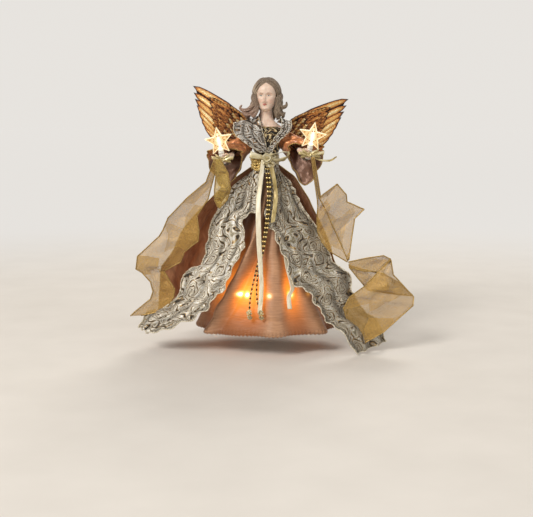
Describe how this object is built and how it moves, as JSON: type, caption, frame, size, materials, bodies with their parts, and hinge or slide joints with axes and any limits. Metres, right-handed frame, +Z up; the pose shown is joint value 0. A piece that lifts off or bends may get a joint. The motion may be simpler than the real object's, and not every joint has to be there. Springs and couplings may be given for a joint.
{
  "type": "angel tree topper",
  "caption": "Lit angel figure in a brocade robe on a hollow cone that drops over a tree top, with lamps in hands and skirt.",
  "frame": {"origin": "centre of the cone's mouth, in the plane of its rim, where the tree's leader enters", "axes": "+Z up along the cone's axis, the figure faces -Y, +X to the right of someone who faces it"},
  "size_m": [0.4297, 0.1806, 0.405],
  "materials": {
    "cone": "thin translucent moulded plastic",
    "block": "moulded plastic",
    "bust": "cast resin, hand painted skin and hair",
    "hand": "cast resin, painted",
    "wing": "cast resin in antique gold paint with dark wash",
    "steel": "plated steel",
    "holder": "moulded plastic",
    "lamp": "lit glass bulb on a plastic plug",
    "star": "frosted clear plastic with a raised rim",
    "wire": "insulated wire",
    "taffeta": "crisp plain taffeta with a puckered hem",
    "brocade": "silver and gold brocade with scrolls, rolled edge",
    "satin": "copper satin",
    "bodice": "dark gold brocade",
    "cream_ribbon": "cream satin ribbon",
    "olive_ribbon": "olive gold ribbon",
    "gold_ribbon": "metallic gold ribbon with wired edges",
    "bead": "metallised beads",
    "sheer": "sheer gold organza ribbon with wired edges"
  },
  "bodies": {
    "angel": {"skirt_lampholder_1": "holder", "skirt_lamp_1": "lamp", "skirt_lampholder_2": "holder", "skirt_lamp_2": "lamp", "skirt_lampholder_3": "holder", "skirt_lamp_3": "lamp", "skirt_lampholder_4": "holder", "skirt_lamp_4": "lamp", "skirt_lampholder_5": "holder", "skirt_lamp_5": "lamp", "skirt_lampholder_6": "holder", "skirt_lamp_6": "lamp", "skirt_lampholder_7": "holder", "skirt_lamp_7": "lamp", "skirt_lampholder_8": "holder", "skirt_lamp_8": "lamp", "body_cone": "cone", "torso_block": "block", "bust": "bust", "arm_wire": "steel", "wire_harness": "wire", "bodice": "bodice", "underskirt": "taffeta", "robe_back": "satin", "sash": "gold_ribbon", "bow_knot": "gold_ribbon", "berry_cluster": "bead", "ribbon_tail_long": "cream_ribbon", "ribbon_tail_olive": "olive_ribbon", "ribbon_tail_right": "cream_ribbon", "organza_left": "sheer", "organza_left_fall": "sheer", "organza_right": "sheer", "organza_right_loop": "sheer", "hand_left": "hand", "lampholder_left": "holder", "wing_left": "wing", "wing_screw_left": "steel", "sleeve_left": "satin", "lapel_left": "brocade", "robe_left": "brocade", "wrist_bow_left": "gold_ribbon", "bow_loop_left": "gold_ribbon", "bead_strand_left": "bead", "hand_right": "hand", "lampholder_right": "holder", "wing_right": "wing", "wing_screw_right": "steel", "sleeve_right": "satin", "lapel_right": "brocade", "robe_right": "brocade", "wrist_bow_right": "gold_ribbon", "bow_loop_right": "gold_ribbon", "bead_strand_right": "bead"},
    "lamp_left": {"lamp_left": "lamp"},
    "lamp_right": {"lamp_right": "lamp"},
    "star_left": {"star_left": "star"},
    "star_right": {"star_right": "star"}
  },
  "joints": [
    {"name": "lamp_left_pull", "type": "slide", "parent": "angel", "child": "lamp_left", "axis": [-0.1908, -0.1196, 0.9743], "range_m": [0, 0.02]},
    {"name": "star_left_pull", "type": "slide", "parent": "lamp_left", "child": "star_left", "axis": [-0.1908, -0.1196, 0.9743], "range_m": [0, 0.03]},
    {"name": "lamp_right_pull", "type": "slide", "parent": "angel", "child": "lamp_right", "axis": [0.1908, -0.1196, 0.9743], "range_m": [0, 0.02]},
    {"name": "star_right_pull", "type": "slide", "parent": "lamp_right", "child": "star_right", "axis": [0.1908, -0.1196, 0.9743], "range_m": [0, 0.03]}
  ]
}
